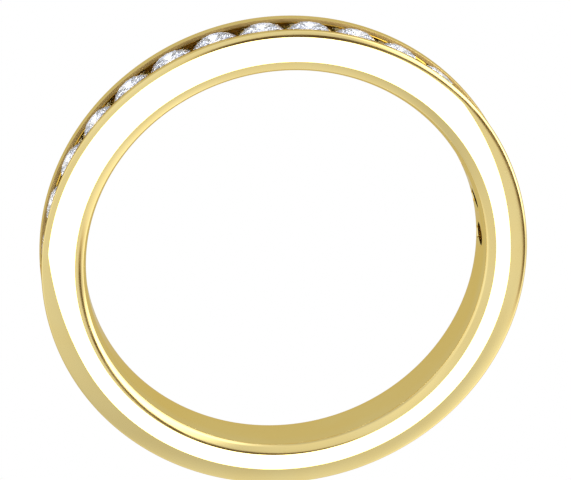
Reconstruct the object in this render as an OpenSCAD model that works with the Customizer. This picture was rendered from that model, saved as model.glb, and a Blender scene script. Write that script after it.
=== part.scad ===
// Plain polished band with round brilliants set in a channel over half of its
// rim. The ring lies on its side: its axis is Z, the row is centred on +Y and
// the origin is on the rim's axis, in the plane of the lower side face.

/* [Finger and band] */
// Finger diameter, the straight part of the bore
finger_d = 17.25; // [15:0.05:20]
// Wall from the bore to the outer surface, at the sides of the ring
wall = 1.925; // [1.7:0.005:2.2]
// How far the bore sits toward the row, which thins the head and thickens the back
bore_rise = 0.08; // [0:0.01:0.15]
// Width of the band along the finger
band_w = 2.33; // [2.2:0.01:3.4]

/* [Edges] */
// How far the rounding of the bore reaches over the side face
comfort_reach = 0.515; // [0.3:0.005:0.6]
// How deep the rounding of the bore goes into the width
comfort_depth = 0.14; // [0.1:0.01:0.45]
// How far the rounding of the rails reaches over the side face
rail_reach = 0.27; // [0.2:0.01:0.38]
// How deep the rounding of the rails goes into the width
rail_depth = 0.08; // [0.06:0.01:0.3]
// How far the rounding of the plain shank reaches over the side face
shank_reach = 0.785; // [0.6:0.005:0.95]
// How deep the rounding of the plain shank goes into the width
shank_depth = 0.15; // [0.14:0.01:0.45]
// Slope of the bore's rounding where it leaves the side face, in degrees
comfort_tilt = 11; // [4:1:14]
// Slope of the rails' rounding where it leaves the side face, in degrees
rail_tilt = 10; // [4:1:12]
// Slope of the shank's rounding where it leaves the side face, in degrees
shank_tilt = 7; // [2:1:8]

/* [Shoulders] */
// Angle at which the shank's full rounding ends, on the left
left_shoulder = 205.3; // [190:0.1:230]
// Angle over which the left rounding runs out
left_run = 31; // [25:1:45]
// Angle at which the shank's full rounding ends, on the right
right_shoulder = 3.0; // [-30:0.1:10]
// Angle over which the right rounding runs out
right_run = 41; // [30:1:50]

/* [Stones] */
// Number of stones in the row
stone_count = 16; // [8:1:22]
// Diameter of a stone over its girdle
stone_d = 1.94; // [1.8:0.01:2.0]
// Gap between two stones at their girdles
stone_gap = 0.07; // [0.03:0.01:0.2]
// Diameter of the table
table_d = 1.1; // [1.0:0.01:1.2]
// Slope of the crown, in degrees
crown_angle = 34; // [30:1:36]
// Slope of the pavilion, in degrees
pavilion_angle = 40.75; // [40:0.05:42]
// Thickness of the girdle at its thick places
girdle_h = 0.07; // [0.06:0.01:0.1]
// Height of the table over the rails
table_rise = -0.08; // [-0.08:0.01:0.1]

/* [Channel] */
// Width of the channel between the rails
channel_w = 1.53; // [1.5:0.01:1.7]
// How far the tops of the rails drop toward the channel
rail_drop = 0.03; // [0.02:0.01:0.08]
// Metal left under the middle of the channel, down to the bore
floor_wall = 0.995; // [0.9:0.005:1.2]
// Diameter of the seat hole under each stone
seat_d = 1.06; // [1.0:0.01:1.2]
// Clearance between a stone and the metal
seat_gap = 0.03; // [0.02:0.01:0.04]
// Gap between the last stone and the end of the channel
end_gap = 0.06; // [0.03:0.01:0.3]

/* [Hidden] */
$fn = 96;
row_centre = 90;
// How far cutters reach past the metal, and past each other in degrees
past = 1;
shoulder_lap = 6;
shank_half_angle = (360 + right_shoulder - left_shoulder) / 2 + shoulder_lap;
bore_r = finger_d / 2;
outer_r = bore_r + wall;
mid_z = band_w / 2;

// Stone sizes, measured from the girdle's middle
stone_r = stone_d / 2;
table_r = table_d / 2;
crown_h = (stone_r - table_r) * tan(crown_angle);
pavilion_h = stone_r * tan(pavilion_angle);
girdle_r = outer_r + table_rise - crown_h - girdle_h / 2;
pitch = 2 * asin((stone_d + stone_gap) / 2 / (girdle_r - girdle_h / 2));
row_half = (stone_count - 1) / 2 * pitch;
channel_half = row_half + asin((stone_r + end_gap) / (girdle_r - girdle_h / 2));
floor_r = bore_r + bore_rise + floor_wall;

function stone_name(k) = str("stone_", k < 10 ? "0" : "", k);
function stone_angle(k) = row_centre - row_half + (k - 1) * pitch;
function at(r, a, h) = [r * cos(a), r * sin(a), h];

// Radius of the arc that leaves a face at a given slope, and reaches and drops so far
function edge_arc(reach, depth, tilt) =
    norm([reach, depth]) / (2 * sin(atan2(depth, reach) - tilt));

// What a rounding takes off the corner at the origin, which lies between a face
// that ends there on +X and a wall that goes down from there
module corner_cut(reach, depth, tilt) {
    arc_r = edge_arc(reach, depth, tilt);
    centre = [-reach - arc_r * sin(tilt), -arc_r * cos(tilt)];
    translate(centre)
        difference() {
            square([past - centre.x, past - centre.y]);
            circle(arc_r);
        }
}

// The same corner cut on both side faces, at the radius r
module edge_pair(r, inward, reach, depth, tilt) {
    for (side = [0, 1])
        translate([r, side * band_w])
            mirror([inward ? 1 : 0, 0])
                mirror([0, 1 - side])
                    corner_cut(reach, depth, tilt);
}

module shank_edges(r) {
    edge_pair(r, false, shank_reach, shank_depth, shank_tilt);
}

// Half of the shank's rounding, which ends at the angle a and runs out there
// along a wider circle, tangent to its own. The wider circle's crease meets the
// rails' crease after the angle run, and its offset is rounded to a thousandth.
module shank_half(a, run) {
    near = outer_r - shank_reach;
    far = outer_r - rail_reach;
    turn = abs(run);
    offset_x = round(
        500 * (pow(far, 2) - pow(near, 2)) / (near - far * cos(turn))
    ) / 1000;
    sweep = atan2(far * sin(turn), far * cos(turn) + offset_x) + shoulder_lap;
    rotate([0, 0, a]) {
        rotate_extrude(start = run > 0 ? -shank_half_angle : 0, angle = shank_half_angle)
            shank_edges(outer_r);
        translate([-offset_x, 0])
            rotate_extrude(start = run > 0 ? 0 : -sweep, angle = sweep)
                shank_edges(outer_r + offset_x);
    }
}

module rim_cuts() {
    shank_half(left_shoulder, -left_run);
    shank_half(right_shoulder, right_run);
}

module disc() {
    rotate_extrude()
        difference() {
            square([outer_r, band_w]);
            edge_pair(outer_r, false, rail_reach, rail_depth, rail_tilt);
        }
}

module bore() {
    translate([0, bore_rise])
        rotate_extrude()
            union() {
                translate([0, -past]) square([bore_r, band_w + 2 * past]);
                edge_pair(bore_r, true, comfort_reach, comfort_depth, comfort_tilt);
            }
}

// Half section of the groove that holds the girdles, with the slopes of the stones
module groove_section() {
    top = girdle_r + girdle_h / 2 + seat_gap / cos(crown_angle);
    bottom = girdle_r - girdle_h / 2 - seat_gap / cos(pavilion_angle);
    polygon([
        [top + stone_r * tan(crown_angle), 0],
        [top - seat_gap * tan(crown_angle), stone_r + seat_gap],
        [bottom + seat_gap * tan(pavilion_angle), stone_r + seat_gap],
        [bottom - stone_r * tan(pavilion_angle), 0]
    ]);
}

// Half section of the space over a rail's sloped top, which ends past the rim
module rail_slope() {
    run = (band_w - channel_w) / 2 - rail_depth;
    drop = rail_drop + past * rail_drop / run;
    polygon([
        [outer_r - rail_drop, 0],
        [outer_r - rail_drop, channel_w / 2],
        [outer_r + drop - rail_drop, channel_w / 2 + run + past],
        [outer_r + past, channel_w / 2 + run + past],
        [outer_r + past, 0]
    ]);
}

module channel() {
    rotate_extrude(start = row_centre - channel_half, angle = 2 * channel_half)
        union() {
            translate([floor_r, mid_z - channel_w / 2])
                square([outer_r + past - floor_r, channel_w]);
            translate([0, mid_z]) {
                rail_slope();
                mirror([0, 1]) rail_slope();
            }
            translate([0, mid_z]) intersection() {
                union() {
                    groove_section();
                    mirror([0, 1]) groove_section();
                }
                translate([floor_r, -band_w]) square([outer_r + past - floor_r, 2 * band_w]);
            }
        }
}

module seat_holes() {
    for (k = [1 : stone_count])
        rotate([0, 0, stone_angle(k)])
            translate([bore_r - past, 0, mid_z])
                rotate([0, 90, 0])
                    cylinder(h = floor_wall + 2 * past, d = seat_d);
}

module band() {
    color("goldenrod")
        difference() {
            disc();
            bore();
            rim_cuts();
            channel();
            seat_holes();
        }
}

// A round brilliant with its axis on Z and its girdle around the origin: table,
// eight stars, eight kites, and sixteen upper and sixteen lower halves, whose
// planes leave a scalloped girdle between them, over eight pavilion mains
module brilliant() {
    star_r = (table_r * cos(22.5) + stone_r) / 2;
    star_h = (stone_r - star_r * cos(22.5)) * tan(crown_angle);
    half_r = stone_r * 0.23;
    half_h = (stone_r - half_r * cos(22.5)) * tan(pavilion_angle);
    sag = stone_r * (1 - cos(11.25)) / cos(11.25);
    top_dip = sag * star_h / (stone_r - star_r);
    low_dip = sag * half_h / (stone_r - half_r);
    top_z = girdle_h / 2;
    points = concat(
        [for (i = [0 : 7]) at(table_r, 45 * i, top_z + crown_h)],
        [for (i = [0 : 7]) at(star_r, 45 * i + 22.5, top_z + star_h)],
        [for (i = [0 : 31]) at(stone_r, 11.25 * i, top_z - (i % 2) * top_dip)],
        [for (i = [0 : 31]) at(stone_r, 11.25 * i, -top_z + (i % 2) * low_dip)],
        [for (i = [0 : 7]) at(half_r, 45 * i + 22.5, -top_z - half_h)],
        [[0, 0, -top_z - pavilion_h]]
    );
    table_p = 0;
    star_p = 8;
    upper_p = 16;
    lower_p = 48;
    half_p = 80;
    culet_p = 88;
    faces = concat(
        [[for (i = [7 : -1 : 0]) table_p + i]],
        [for (i = [0 : 7]) [table_p + i, table_p + (i + 1) % 8, star_p + i]],
        [for (i = [0 : 7]) [table_p + i, star_p + i, upper_p + 4 * i, star_p + (i + 7) % 8]],
        [for (i = [0 : 15]) [
            upper_p + 2 * i, star_p + floor(i / 2), upper_p + (2 * i + 2) % 32, upper_p + 2 * i + 1]],
        [for (i = [0 : 31]) [
            upper_p + i, upper_p + (i + 1) % 32, lower_p + (i + 1) % 32, lower_p + i]],
        [for (i = [0 : 15]) [
            lower_p + 2 * i, lower_p + 2 * i + 1, lower_p + (2 * i + 2) % 32, half_p + floor(i / 2)]],
        [for (i = [0 : 7]) [lower_p + 4 * i, half_p + i, culet_p, half_p + (i + 7) % 8]]
    );
    polyhedron(points = points, faces = faces);
}

module stone(k) {
    color("aliceblue")
        rotate([0, 0, stone_angle(k)])
            translate([girdle_r, 0, mid_z])
                rotate([0, 90, 0])
                    brilliant();
}

band();
for (k = [1 : stone_count])
    stone(k);
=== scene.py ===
import math

import bmesh
import bpy
from mathutils import Matrix, Vector


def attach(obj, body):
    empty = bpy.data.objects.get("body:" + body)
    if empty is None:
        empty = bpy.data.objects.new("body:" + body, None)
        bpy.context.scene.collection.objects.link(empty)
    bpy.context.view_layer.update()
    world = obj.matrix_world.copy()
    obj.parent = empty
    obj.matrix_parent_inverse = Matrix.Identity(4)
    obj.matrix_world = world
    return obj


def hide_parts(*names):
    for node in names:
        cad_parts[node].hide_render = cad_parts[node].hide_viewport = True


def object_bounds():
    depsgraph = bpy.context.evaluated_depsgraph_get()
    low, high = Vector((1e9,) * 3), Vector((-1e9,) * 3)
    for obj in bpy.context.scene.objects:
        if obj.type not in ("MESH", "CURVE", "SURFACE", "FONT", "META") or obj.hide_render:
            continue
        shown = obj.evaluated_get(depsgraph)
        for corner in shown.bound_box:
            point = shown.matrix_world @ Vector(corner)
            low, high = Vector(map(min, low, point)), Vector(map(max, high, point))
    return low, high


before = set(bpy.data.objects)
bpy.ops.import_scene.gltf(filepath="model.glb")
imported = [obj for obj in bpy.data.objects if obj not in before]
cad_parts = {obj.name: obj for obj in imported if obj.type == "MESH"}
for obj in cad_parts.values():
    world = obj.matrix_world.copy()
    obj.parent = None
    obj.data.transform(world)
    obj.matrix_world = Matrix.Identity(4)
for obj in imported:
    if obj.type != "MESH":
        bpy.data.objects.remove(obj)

cadLow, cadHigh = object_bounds()
mm = 0.001
print("frame loaded,", len(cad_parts), "nodes")


# Camera, at the photograph's angle to the ring.
# The directions are the picture's right, up and towards the viewer.
cameraSettings = {
    "fromTopFace": (-13.248, 39.754, 93.990),
    "right": (0.99085, 0.00931, 0.13461),
    "up": (0.04207, 0.92656, -0.37380),
    "back": (-0.12821, 0.37604, 0.91769),
    "focalPixels": 2394.0,
    "pictureWidth": 571.0,
    "sensorWidth": 36.0,
    "clip": (0.005, 5.0),
}


def makeCamera(s, faceHeight):
    data = bpy.data.cameras.new("camera")
    camera = bpy.data.objects.new("camera", data)
    bpy.context.scene.collection.objects.link(camera)
    back = Vector(s["back"]).normalized()
    right = Vector(s["right"])
    right = (right - right.dot(back) * back).normalized()
    up = back.cross(right)
    turn = Matrix((right, up, back)).transposed().to_4x4()
    place = Vector(s["fromTopFace"]) * mm + Vector((0, 0, faceHeight))
    camera.matrix_world = Matrix.Translation(place) @ turn
    data.sensor_width = s["sensorWidth"]
    data.lens = s["focalPixels"] / s["pictureWidth"] * s["sensorWidth"]
    data.clip_start, data.clip_end = s["clip"]
    bpy.context.scene.camera = camera


makeCamera(cameraSettings, cadHigh.z)
print("camera made")


# Small helpers for node trees. A mix node's slots are those of its first value, its
# second value and its result.
white = (1, 1, 1, 1)
black = (0, 0, 0, 1)
mixSlots = {"RGBA": (6, 7, 2), "FLOAT": (2, 3, 0)}


def addNode(tree, kind, **values):
    node = tree.nodes.new(kind)
    for name, value in values.items():
        if hasattr(node, name):
            setattr(node, name, value)
        else:
            node.inputs[name.replace("_", " ").title()].default_value = value
    return node


def feed(tree, slot, value):
    # Links another node's output to the slot, or sets a plain value on it
    if isinstance(value, bpy.types.NodeSocket):
        tree.links.new(value, slot)
    else:
        slot.default_value = value


def mathNode(tree, operation, first, second=0.0):
    node = addNode(tree, "ShaderNodeMath", operation=operation)
    for slot, value in zip(node.inputs, (first, second)):
        feed(tree, slot, value)
    return node.outputs[0]


def mixNode(tree, share, first, second, kind="RGBA"):
    # Goes from the first value to the second as the share goes from 0 to 1
    node = addNode(tree, "ShaderNodeMix", data_type=kind)
    firstSlot, secondSlot, result = mixSlots[kind]
    for slot, value in ((0, share), (firstSlot, first), (secondSlot, second)):
        feed(tree, node.inputs[slot], value)
    return node.outputs[result]


def softStep(tree, value, low, high, toLow=0.0, toHigh=1.0):
    node = addNode(tree, "ShaderNodeMapRange", interpolation_type="SMOOTHSTEP")
    tree.links.new(value, node.inputs["Value"])
    ends = {"From Min": low, "From Max": high, "To Min": toLow, "To Max": toHigh}
    for name, end in ends.items():
        node.inputs[name].default_value = end
    return node.outputs["Result"]


def dotWith(tree, vector, direction):
    node = addNode(tree, "ShaderNodeVectorMath", operation="DOT_PRODUCT")
    tree.links.new(vector, node.inputs[0])
    node.inputs[1].default_value = direction
    return node.outputs["Value"]


# The studio: a soft room with a few large lit cards. A card is a direction, an
# angle from its middle to its edge, a soft border and a brightness that is added
# to the room's. A thin dark frame runs round part of the main card. Half of its
# width goes from the first value of half to the second while X goes over narrow,
# and it ends at the left and below. A wide wing of light starts outside it, fades
# with the angle, and ends at the left, below and towards the horizon.
studio = {
    "seen": 1.0,
    "room": 0.61,
    "throughStones": 3.2,
    "cards": [
        {"at": (0.120, -0.374, 0.920), "angle": 9.0, "soft": 2.0, "light": 3.4},
        {"at": (-0.526, -0.197, 0.827), "angle": 22.0, "soft": 16.0, "light": 0.20},
        {"at": (-0.134, 0.468, 0.874), "angle": 24.0, "soft": 16.0, "light": 0.24},
        {"at": (0.751, -0.626, 0.208), "angle": 23.0, "soft": 15.0, "light": 0.55},
        {"at": (0.455, -0.638, 0.621), "angle": 14.0, "soft": 12.0, "light": 0.10},
        {"at": (0.449, -0.233, 0.863), "angle": 12.0, "soft": 8.0, "light": 0.20},
        {"at": (0.70, 0.65, 0.30), "angle": 26.0, "soft": 20.0, "light": 0.50},
        {"at": (0.05, -0.98, 0.20), "angle": 24.0, "soft": 14.0, "light": 0.26},
        {"at": (-0.95, -0.10, 0.20), "angle": 34.0, "soft": 20.0, "light": 0.34},
    ],
    "frame": {
        "around": (0.1682, -0.4204, 0.8915),
        "angle": 28.0,
        "half": (3.2, 1.6),
        "narrow": (0.18, 0.36),
        "soft": 1.1,
        "left": (-0.10, 0.05),
        "below": (-0.55, -0.35),
        "keep": 0.15,
        "tint": (1.0, 0.68, 0.34, 1.0),
    },
    "wing": {
        "from": 29.6,
        "soft": 1.2,
        "to": 80.0,
        "left": (0.24, 0.52),
        "below": (-0.36, -0.18),
        "raised": (0.0, 0.55),
        "light": (2.1, 0.7),
    },
}


def makeStudio(s):
    world = bpy.data.worlds.new("studio")
    bpy.context.scene.world = world
    world.use_nodes = True
    tree = world.node_tree
    tree.nodes.clear()
    direction = tree.nodes.new("ShaderNodeTexCoord").outputs["Generated"]
    light = None
    for card in s["cards"]:
        middle = Vector(card["at"]).normalized()
        inner = math.cos(math.radians(max(card["angle"] - card["soft"], 0.0)))
        outer = math.cos(math.radians(card["angle"] + card["soft"]))
        near = dotWith(tree, direction, middle)
        lit = softStep(tree, near, outer, inner, 0.0, card["light"])
        light = mathNode(tree, "ADD", s["room"] if light is None else light, lit)
    split = addNode(tree, "ShaderNodeSeparateXYZ")
    tree.links.new(direction, split.inputs[0])

    # The wing, at an angle from the frame's middle, in degrees
    rim, wing = s["frame"], s["wing"]
    near = dotWith(tree, direction, Vector(rim["around"]).normalized())
    away = mathNode(tree, "ARCCOSINE", near)
    away = mathNode(tree, "MULTIPLY", away, math.degrees(1))
    spread = softStep(tree, away, wing["from"] - wing["soft"], wing["from"] + wing["soft"])
    fade = softStep(tree, away, wing["from"], wing["to"], *wing["light"])
    spread = mathNode(tree, "MULTIPLY", spread, fade)
    for axis, end in (("X", "left"), ("Z", "raised"), ("Y", "below")):
        within = softStep(tree, split.outputs[axis], *wing[end])
        spread = mathNode(tree, "MULTIPLY", spread, within)
    light = mathNode(tree, "ADD", light, spread)

    # The dark frame, as 0 inside it and 1 where the room is clear of it
    offset = mathNode(tree, "SUBTRACT", away, rim["angle"])
    offset = mathNode(tree, "ABSOLUTE", offset)
    half = softStep(tree, split.outputs["X"], *rim["narrow"], *rim["half"])
    clear = mathNode(tree, "SUBTRACT", offset, half)
    clear = softStep(tree, clear, -rim["soft"], rim["soft"])
    for axis, end in (("X", "left"), ("Y", "below")):
        beyond = softStep(tree, split.outputs[axis], *rim[end], 1.0, 0.0)
        clear = mathNode(tree, "MAXIMUM", clear, beyond)
    keep = softStep(tree, clear, 0.0, 1.0, rim["keep"], 1.0)
    light = mathNode(tree, "MULTIPLY", light, keep)

    # Rays that have passed through a stone, or are scattered, meet a brighter room
    path = addNode(tree, "ShaderNodeLightPath")
    through, scattered = path.outputs["Is Transmission Ray"], path.outputs["Is Diffuse Ray"]
    extra = mathNode(tree, "ADD", through, scattered)
    extra = mathNode(tree, "MULTIPLY", extra, s["throughStones"])
    extra = mathNode(tree, "ADD", extra, 1.0)
    light = mathNode(tree, "MULTIPLY", light, extra)
    room = addNode(tree, "ShaderNodeBackground")
    tree.links.new(light, room.inputs["Strength"])
    tree.links.new(mixNode(tree, clear, rim["tint"], white), room.inputs["Color"])
    plain = addNode(tree, "ShaderNodeBackground", Strength=s["seen"])
    pick = addNode(tree, "ShaderNodeMixShader")
    tree.links.new(path.outputs["Is Camera Ray"], pick.inputs[0])
    tree.links.new(room.outputs[0], pick.inputs[1])
    tree.links.new(plain.outputs[0], pick.inputs[2])
    out = addNode(tree, "ShaderNodeOutputWorld")
    tree.links.new(pick.outputs[0], out.inputs["Surface"])


makeStudio(studio)
bpy.context.scene.view_settings.view_transform = "Standard"
print("studio made")


# The floor, a plain white sheet lit so evenly that it shows no shadow. What it
# sends back into the metal is dimmer.
floorSettings = {
    "size": 1.2,
    "seen": 1.0,
    "mirrored": 0.62,
    "roughness": 0.6,
    "tint": (1.0, 0.96, 0.80, 1.0),
}


def makeFloor(s):
    bm = bmesh.new()
    bmesh.ops.create_grid(bm, x_segments=1, y_segments=1, size=s["size"] / 2)
    mesh = bpy.data.meshes.new("floor")
    bm.to_mesh(mesh)
    bm.free()
    floor = bpy.data.objects.new("floor", mesh)
    bpy.context.scene.collection.objects.link(floor)
    mat = bpy.data.materials.new("white sheet")
    mat.use_nodes = True
    tree = mat.node_tree
    shader = tree.nodes["Principled BSDF"]
    shader.inputs["Base Color"].default_value = black
    shader.inputs["Roughness"].default_value = s["roughness"]
    shader.inputs["Specular IOR Level"].default_value = 0.0
    toCamera = addNode(tree, "ShaderNodeLightPath").outputs["Is Camera Ray"]
    tint = mixNode(tree, toCamera, s["tint"], white)
    tree.links.new(tint, shader.inputs["Emission Color"])
    glow = softStep(tree, toCamera, 0.0, 1.0, s["mirrored"], s["seen"])
    tree.links.new(glow, shader.inputs["Emission Strength"])
    mesh.materials.append(mat)


makeFloor(floorSettings)


# Materials. The gold's zones inside the channel are distances in metres: radii from
# the rim's axis, and heights from the middle of the width.
goldSettings = {
    "colour": (0.93, 0.765, 0.340, 1.0),
    "warmer": (0.93, 0.745, 0.310, 1.0),
    "grazing": (1.0, 0.88, 0.55, 1.0),
    "driftScale": 420.0,
    "noiseSpan": (0.3, 0.7),
    "roughness": (0.06, 0.10),
    "lineScale": (900.0, 900.0, 26000.0),
    "lineStrength": 0.012,
    "lineDepth": 0.00002,
    # The channel's colours below are painted shade, the one for the top of its walls
    # lighter with painted light; its roughness is the metal's own
    "inside": (0.50, 0.35, 0.16, 1.0),
    "insideRoughness": 0.52,
    "paintedShadeWallTop": (0.54, 0.37, 0.13, 1.0),
    "insideTopFrom": (0.01032, 0.01037),
    "insideFrom": (0.00912, 0.00920),
    "insideTo": (0.01050, 0.01052),
    "insideHalf": (0.00079, 0.00083),
    "middle": 0.001165,
    "glow": (0.96, 0.96, 1.0, 1.0),
    "throughStones": 1.5,
}


def makeGold(s):
    mat = bpy.data.materials.new("polished yellow gold")
    mat.use_nodes = True
    tree = mat.node_tree
    shader = tree.nodes["Principled BSDF"]
    shader.inputs["Metallic"].default_value = 1.0
    shader.inputs["Specular Tint"].default_value = s["grazing"]
    where = tree.nodes.new("ShaderNodeTexCoord").outputs["Object"]

    # Slow drift of the tint, at the scale of a few millimetres
    drift = addNode(tree, "ShaderNodeTexNoise", Scale=s["driftScale"], Detail=3.0)
    tree.links.new(where, drift.inputs["Vector"])
    warmth = softStep(tree, drift.outputs["Fac"], *s["noiseSpan"])
    tint = mixNode(tree, warmth, s["colour"], s["warmer"])

    # Fine polishing lines run round the band
    stretch = addNode(tree, "ShaderNodeMapping")
    stretch.inputs["Scale"].default_value = s["lineScale"]
    tree.links.new(where, stretch.inputs["Vector"])
    lines = addNode(tree, "ShaderNodeTexNoise", Scale=1.0, Detail=4.0)
    tree.links.new(stretch.outputs["Vector"], lines.inputs["Vector"])
    rough = softStep(tree, lines.outputs["Fac"], *s["noiseSpan"], *s["roughness"])
    bump = addNode(
        tree, "ShaderNodeBump", Strength=s["lineStrength"], Distance=s["lineDepth"]
    )
    tree.links.new(lines.outputs["Fac"], bump.inputs["Height"])
    tree.links.new(bump.outputs["Normal"], shader.inputs["Normal"])

    # Inside the channel and the seat holes the metal is left duller, and its colour is
    # painted shade, darker and more brown, made a little lighter by painted light at
    # the top of the channel's walls
    flat = addNode(tree, "ShaderNodeVectorMath", operation="MULTIPLY")
    tree.links.new(where, flat.inputs[0])
    flat.inputs[1].default_value = (1, 1, 0)
    length = addNode(tree, "ShaderNodeVectorMath", operation="LENGTH")
    tree.links.new(flat.outputs["Vector"], length.inputs[0])
    radius = length.outputs["Value"]
    split = addNode(tree, "ShaderNodeSeparateXYZ")
    tree.links.new(where, split.inputs[0])
    height = mathNode(tree, "SUBTRACT", split.outputs["Z"], s["middle"])
    height = mathNode(tree, "ABSOLUTE", height)
    over = softStep(tree, radius, *s["insideFrom"])
    under = softStep(tree, radius, *s["insideTo"], 1.0, 0.0)
    between = softStep(tree, height, *s["insideHalf"], 1.0, 0.0)
    inside = mathNode(tree, "MULTIPLY", over, under)
    inside = mathNode(tree, "MULTIPLY", inside, between)
    nearTop = softStep(tree, radius, *s["insideTopFrom"])
    paintedChannelShade = mixNode(tree, nearTop, s["inside"], s["paintedShadeWallTop"])
    tree.links.new(mixNode(tree, inside, tint, paintedChannelShade), shader.inputs["Base Color"])
    polish = mixNode(tree, inside, rough, s["insideRoughness"], "FLOAT")
    tree.links.new(polish, shader.inputs["Roughness"])

    # Seen through a stone, the metal around it gives more light
    through = addNode(tree, "ShaderNodeLightPath").outputs["Is Transmission Ray"]
    glow = mathNode(tree, "MULTIPLY", through, s["throughStones"])
    shader.inputs["Emission Color"].default_value = s["glow"]
    tree.links.new(glow, shader.inputs["Emission Strength"])
    return mat


diamondSettings = {
    "clear": (0.985, 0.99, 1.0, 1.0),
    "cool": (0.88, 0.91, 1.0, 1.0),
    "line": (0.46, 0.52, 0.74, 1.0),
    "ior": 2.417,
    "clearness": 0.74,
    "clouds": 1500.0,
    "cloudSpan": (0.5, 0.7),
    "cells": 5200.0,
    "lineSpan": (0.05, 0.17),
    "lineShare": 0.85,
    "fleck": (0.10, 0.13, 0.24, 1.0),
    "flecks": 8600.0,
    "fleckSpan": (0.62, 0.68),
    "fleckShare": 0.9,
}


def makeDiamond(s):
    mat = bpy.data.materials.new("cut diamond")
    mat.use_nodes = True
    tree = mat.node_tree
    shader = tree.nodes["Principled BSDF"]
    shader.inputs["Roughness"].default_value = 0.0
    shader.inputs["IOR"].default_value = s["ior"]
    shader.inputs["Transmission Weight"].default_value = s["clearness"]
    where = tree.nodes.new("ShaderNodeTexCoord").outputs["Object"]
    cloud = addNode(tree, "ShaderNodeTexNoise", Scale=s["clouds"], Detail=2.0)
    tree.links.new(where, cloud.inputs["Vector"])
    coolness = softStep(tree, cloud.outputs["Fac"], *s["cloudSpan"])
    colour = mixNode(tree, coolness, s["clear"], s["cool"])

    # Thin cool lines, painted reflections as seen where small facets meet
    cells = addNode(
        tree, "ShaderNodeTexVoronoi", feature="DISTANCE_TO_EDGE", Scale=s["cells"]
    )
    tree.links.new(where, cells.inputs["Vector"])
    share = softStep(tree, cells.outputs["Distance"], *s["lineSpan"], s["lineShare"], 0.0)
    colour = mixNode(tree, share, colour, s["line"])

    # Small dark flecks, as of facets that reflect a dark part of the room
    specks = addNode(tree, "ShaderNodeTexNoise", Scale=s["flecks"], Detail=1.0)
    tree.links.new(where, specks.inputs["Vector"])
    share = softStep(tree, specks.outputs["Fac"], *s["fleckSpan"], 0.0, s["fleckShare"])
    colour = mixNode(tree, share, colour, s["fleck"])
    tree.links.new(colour, shader.inputs["Base Color"])
    return mat


gold = makeGold(goldSettings)
diamond = makeDiamond(diamondSettings)
print("materials made")


# The band, in millimetres and degrees. Radii count from the rim's axis, heights
# from the lower side face. The bore sits a little toward the row. Its rounding is
# deeper than the solid's and the rails' is shallower, as the reflections ask.
band = {
    "boreRadius": 8.625,
    "boreRise": 0.08,
    "outerRadius": 10.55,
    "width": 2.33,
    "comfort": {"reach": 0.515, "depth": 0.19, "tilt": 15.5, "soft": 0.20, "fall": 0.56},
    "rail": {"reach": 0.27, "depth": 0.06, "tilt": 9.0, "soft": 0.05, "fall": 0.05},
    "shank": {"reach": 0.785, "depth": 0.15, "tilt": 7.0, "soft": 0.09, "fall": 0.12},
    "rimPoint": 0.6,
    "cornerSteps": 16,
    "softSteps": 10,
    "leftShoulder": 205.3,
    "leftRun": 31.0,
    "rightShoulder": 3.0,
    "rightRun": 41.0,
    "rowSpins": 256,
    "shankSpins": 240,
    "weld": 1e-4,
    "sharpAngle": 25.0,
}
row = {
    "centre": 90.0,
    "stones": 16,
    "stoneDiameter": 1.94,
    "tableRise": -0.08,
    "stoneGap": 0.07,
    "tableDiameter": 1.10,
    "crownAngle": 34.0,
    "pavilionAngle": 40.75,
    "girdle": 0.07,
    "channel": 1.53,
    "railDrop": 0.03,
    "floorWall": 0.995,
    "seatHole": 1.06,
    "seatGap": 0.03,
    "endGap": 0.06,
    "lip": 0.03,
    "lipRise": 0.2,
    "lipBend": 0.3,
    "holeSides": 56,
    "holeEdge": 0.05,
    "holePast": 0.5,
    "weld": 1e-5,
}
row["stoneRadius"] = row["stoneDiameter"] / 2
row["girdleRadius"] = (
    band["outerRadius"] + row["tableRise"]
    - (row["stoneRadius"] - row["tableDiameter"] / 2)
    * math.tan(math.radians(row["crownAngle"]))
    - row["girdle"] / 2
)
innerGirdle = row["girdleRadius"] - row["girdle"] / 2
row["pitch"] = 2 * math.degrees(
    math.asin((row["stoneDiameter"] + row["stoneGap"]) / 2 / innerGirdle)
)
row["half"] = (row["stones"] - 1) / 2 * row["pitch"] + math.degrees(
    math.asin((row["stoneRadius"] + row["endGap"]) / innerGirdle)
)


def roundedCorner(shape):
    # An arc from the crease on the side face to the wall, as distances across and
    # down. A curve that starts the length soft before the wall and falls down it
    # softens the edge between them.
    reach, depth, soft = shape["reach"], shape["depth"], shape["soft"]
    leave = math.radians(shape["tilt"])
    chord = math.atan2(depth, reach)
    radius = math.hypot(reach, depth) / (2 * math.sin(chord - leave))
    arrive = 2 * chord - leave - soft / radius

    def onArc(a):
        return (
            radius * (math.sin(a) - math.sin(leave)),
            radius * (math.cos(leave) - math.cos(a)),
        )

    steps = band["cornerSteps"]
    points = [onArc(leave + (arrive - leave) * i / steps) for i in range(steps + 1)]
    corners = (points[-1], (reach, depth), (reach, depth + shape["fall"]))
    for i in range(1, band["softSteps"] + 1):
        t = i / band["softSteps"]
        shares = ((1 - t) ** 2, 2 * t * (1 - t), t ** 2)
        points.append(tuple(
            sum(share * corner[side] for share, corner in zip(shares, corners))
            for side in (0, 1)
        ))
    return points


def mixed(first, second, share):
    return {key: first[key] + (second[key] - first[key]) * share for key in first}


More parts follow.
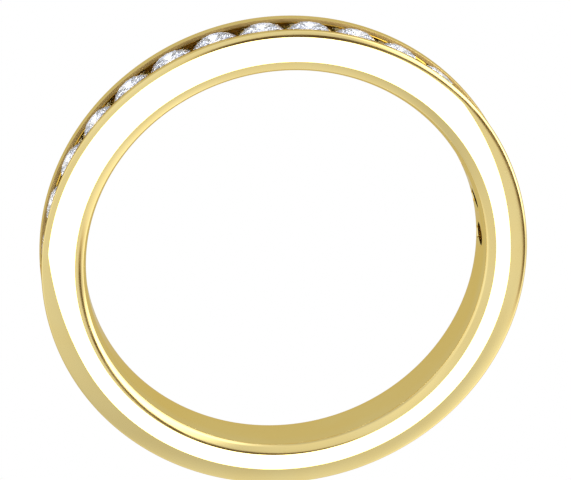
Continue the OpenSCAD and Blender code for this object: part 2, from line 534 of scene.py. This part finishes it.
def shankShare(angle):
    # 1 round the shank, 0 beside the stones. The run-out follows a wider circle
    # that leaves the shank's own crease at the shoulder.
    near = band["outerRadius"] - band["shank"]["reach"]
    far = band["outerRadius"] - band["rail"]["reach"]
    pastRight = (angle - band["rightShoulder"]) % 360
    pastLeft = (band["leftShoulder"] - angle) % 360
    for past, run in ((pastRight, band["rightRun"]), (pastLeft, band["leftRun"])):
        if past < run:
            turn = math.radians(run)
            shift = (far ** 2 - near ** 2) / (2 * (near - far * math.cos(turn)))
            away = math.radians(past)
            crease = -shift * math.cos(away) + math.sqrt(
                (near + shift) ** 2 - (shift * math.sin(away)) ** 2
            )
            return (far - crease) / (far - near)
    besideRow = (band["leftShoulder"] - band["rightShoulder"]) % 360
    return 0.0 if pastRight < besideRow else 1.0


def outerCorner(angle):
    shape = mixed(band["rail"], band["shank"], shankShare(angle))
    first = band["outerRadius"] - shape["reach"]
    corner = roundedCorner(shape)
    return [(first + across, band["width"] - down) for across, down in corner]


def comfortCorner():
    # Counted from the bore's own axis
    first = band["boreRadius"] + band["comfort"]["reach"]
    corner = roundedCorner(band["comfort"])
    return [(first - across, band["width"] - down) for across, down in corner]


def channelHalf():
    # Half of the channel's section, from the lip on the rim to the middle of its
    # floor, with the groove that holds the girdles
    mid = band["width"] / 2
    wall = mid + row["channel"] / 2
    apex = mid + row["stoneRadius"] + row["seatGap"]
    crown = math.radians(row["crownAngle"])
    pavilion = math.radians(row["pavilionAngle"])
    top = row["girdleRadius"] + row["girdle"] / 2 + row["seatGap"] / math.cos(crown)
    low = row["girdleRadius"] - row["girdle"] / 2 - row["seatGap"] / math.cos(pavilion)
    tuck = row["stoneRadius"] - row["channel"] / 2
    floorRadius = band["boreRadius"] + band["boreRise"] + row["floorWall"]
    edge = band["outerRadius"] - row["railDrop"]
    lip = row["lip"]
    rise, bend = lip * row["lipRise"], lip * row["lipBend"]
    return [
        (edge + rise, wall + lip),
        (edge - rise, wall + bend),
        (edge - lip, wall),
        (top + tuck * math.tan(crown), wall),
        (top - row["seatGap"] * math.tan(crown), apex),
        (low + row["seatGap"] * math.tan(pavilion), apex),
        (low - tuck * math.tan(pavilion), wall),
        (floorRadius, wall),
        (floorRadius, mid + row["seatHole"] / 2),
    ]


def mirrored(points):
    return [(r, band["width"] - z) for r, z in reversed(points)]


comfortPoints = comfortCorner()
channelPoints = channelHalf()


def fromRim(radius, angle):
    # A distance from the bore's axis, counted from the rim's axis instead
    turn = math.radians(angle)
    across = band["boreRise"] * math.cos(turn)
    along = band["boreRise"] * math.sin(turn)
    return along + math.sqrt(radius ** 2 - across ** 2)


def section(angle, withRow):
    # The band's closed outline at an angle, as radius and height
    inner = [(fromRim(r, angle), z) for r, z in reversed(comfortPoints)]
    plainRim = [(band["outerRadius"], band["rimPoint"] * band["width"])]
    upper = inner + outerCorner(angle) + (channelPoints if withRow else plainRim)
    return upper + mirrored(upper)


def placed(r, z, angle):
    turn = math.radians(angle)
    return Vector((r * math.cos(turn), r * math.sin(turn), z))


def spinPart(bm, start, sweep, steps, withRow):
    # Spins the outline, then fits each section to its own angle
    spot = bm.verts.layers.int["spot"]
    verts = []
    for i, (r, z) in enumerate(section(start, withRow)):
        vert = bm.verts.new(placed(r, z, start))
        vert[spot] = i
        verts.append(vert)
    edges = [bm.edges.new((a, b)) for a, b in zip(verts, verts[1:] + verts[:1])]
    before = set(bm.verts)
    bmesh.ops.spin(
        bm, geom=verts + edges, cent=(0, 0, 0), axis=(0, 0, 1), dvec=(0, 0, 0),
        angle=math.radians(sweep), steps=steps, use_merge=False, use_duplicate=False,
    )
    sections = {}
    for vert in verts + [v for v in bm.verts if v not in before]:
        angle = round(math.degrees(math.atan2(vert.co.y, vert.co.x)) % 360, 4)
        if angle not in sections:
            sections[angle] = section(angle, withRow)
        vert.co = placed(*sections[angle][vert[spot]], angle)


def sharpRings():
    # The places in the upper half of the outline where polished faces meet in a
    # line: the two creases on the side face and, below the lip's three points, the
    # edges in the channel
    lipPoints = 3
    comfortEnd = len(comfortPoints) - 1
    corner = comfortEnd + 1
    lip = corner + len(outerCorner(0.0))
    inChannel = range(lipPoints, len(channelPoints) - 1)
    return {comfortEnd, corner} | {lip + i for i in inChannel}


def makeHoles():
    # One cutter for the seat holes, each with a small countersink at the bore
    bm = bmesh.new()
    hole = row["seatHole"] / 2
    edge = row["holeEdge"]
    bore = band["boreRadius"]
    past = row["holePast"]
    end = bore + band["boreRise"] + row["floorWall"] + past
    for k in range(row["stones"]):
        angle = row["centre"] + (k - (row["stones"] - 1) / 2) * row["pitch"]
        near = fromRim(bore, angle)
        outline = [
            (near - past, 0.0),
            (near - past, hole + edge + past),
            (near + edge, hole),
            (end, hole),
            (end, 0.0),
        ]
        verts = [bm.verts.new((x, 0, y)) for x, y in outline]
        edges = [bm.edges.new(pair) for pair in zip(verts, verts[1:])]
        made = set(bm.verts) - set(verts)
        bmesh.ops.spin(
            bm, geom=verts + edges, cent=(0, 0, 0), axis=(1, 0, 0), dvec=(0, 0, 0),
            angle=math.tau, steps=row["holeSides"], use_merge=True, use_duplicate=False,
        )
        fresh = [v for v in bm.verts if v not in made]
        turn = Matrix.Rotation(math.radians(angle), 3, "Z")
        bmesh.ops.rotate(bm, cent=(0, 0, 0), matrix=turn, verts=fresh)
        bmesh.ops.translate(bm, vec=(0, 0, band["width"] / 2), verts=fresh)
    bmesh.ops.remove_doubles(bm, verts=bm.verts, dist=row["weld"])
    bmesh.ops.recalc_face_normals(bm, faces=bm.faces)
    bmesh.ops.scale(bm, vec=(mm, mm, mm), verts=bm.verts)
    mesh = bpy.data.meshes.new("holes")
    bm.to_mesh(mesh)
    bm.free()
    cutter = bpy.data.objects.new("holes", mesh)
    bpy.context.scene.collection.objects.link(cutter)
    return cutter


def makeBand():
    bm = bmesh.new()
    bm.verts.layers.int.new("spot")
    centre, half = row["centre"], row["half"]
    start, end = centre - half, centre + half
    spinPart(bm, start, end - start, band["rowSpins"], True)
    spinPart(bm, end, 360 - (end - start), band["shankSpins"], False)

    # Both halves of the outline have the same sharp places, counted from its ends
    spot = bm.verts.layers.int["spot"]
    rings = sharpRings()
    rowLast, plainLast = (len(section(centre, withRow)) - 1 for withRow in (True, False))
    for edge in bm.edges:
        first, second = edge.verts
        if first[spot] == second[spot]:
            angle = math.degrees(math.atan2(first.co.y, first.co.x))
            last = rowLast if abs(angle - centre) < half else plainLast
            edge.smooth = not (first[spot] in rings or last - first[spot] in rings)
    bmesh.ops.remove_doubles(bm, verts=bm.verts, dist=band["weld"])
    openEdges = [e for e in bm.edges if e.is_boundary]
    bmesh.ops.holes_fill(bm, edges=openEdges, sides=0)
    bmesh.ops.recalc_face_normals(bm, faces=bm.faces)
    for face in bm.faces:
        face.smooth = True
    bmesh.ops.scale(bm, vec=(mm, mm, mm), verts=bm.verts)
    mesh = bpy.data.meshes.new("gold_band")
    bm.to_mesh(mesh)
    bm.free()
    skin = bpy.data.objects.new("gold_band", mesh)
    bpy.context.scene.collection.objects.link(skin)
    return skin


def cutHoles(skin, cutter):
    cut = skin.modifiers.new("seat holes", "BOOLEAN")
    cut.operation = "DIFFERENCE"
    cut.solver = "EXACT"
    cut.object = cutter
    bpy.context.view_layer.update()
    shaped = skin.evaluated_get(bpy.context.evaluated_depsgraph_get())
    mesh = bpy.data.meshes.new_from_object(shaped)
    skin.modifiers.clear()
    old = skin.data
    skin.data = mesh
    bpy.data.meshes.remove(old)
    spare = cutter.data
    bpy.data.objects.remove(cutter)
    bpy.data.meshes.remove(spare)
    bm = bmesh.new()
    bm.from_mesh(mesh)
    sharpAngle = math.radians(band["sharpAngle"])
    for edge in bm.edges:
        if edge.is_manifold and edge.calc_face_angle() > sharpAngle:
            edge.smooth = False
    gaps = sum(not edge.is_manifold for edge in bm.edges)
    sharp = sum(not edge.smooth for edge in bm.edges)
    print(f"band: {len(bm.faces)} faces, {gaps} open edges, {sharp} sharp edges")
    bm.to_mesh(mesh)
    bm.free()


bandSkin = makeBand()
print("band spun:", len(bandSkin.data.polygons), "faces")
cutHoles(bandSkin, makeHoles())
bandSkin.data.materials.clear()
bandSkin.data.materials.append(gold)
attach(bandSkin, "root")
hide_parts("band")
print("band made")


for name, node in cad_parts.items():
    if name.startswith("stone"):
        node.data.materials.clear()
        node.data.materials.append(diamond)
print("stones dressed")
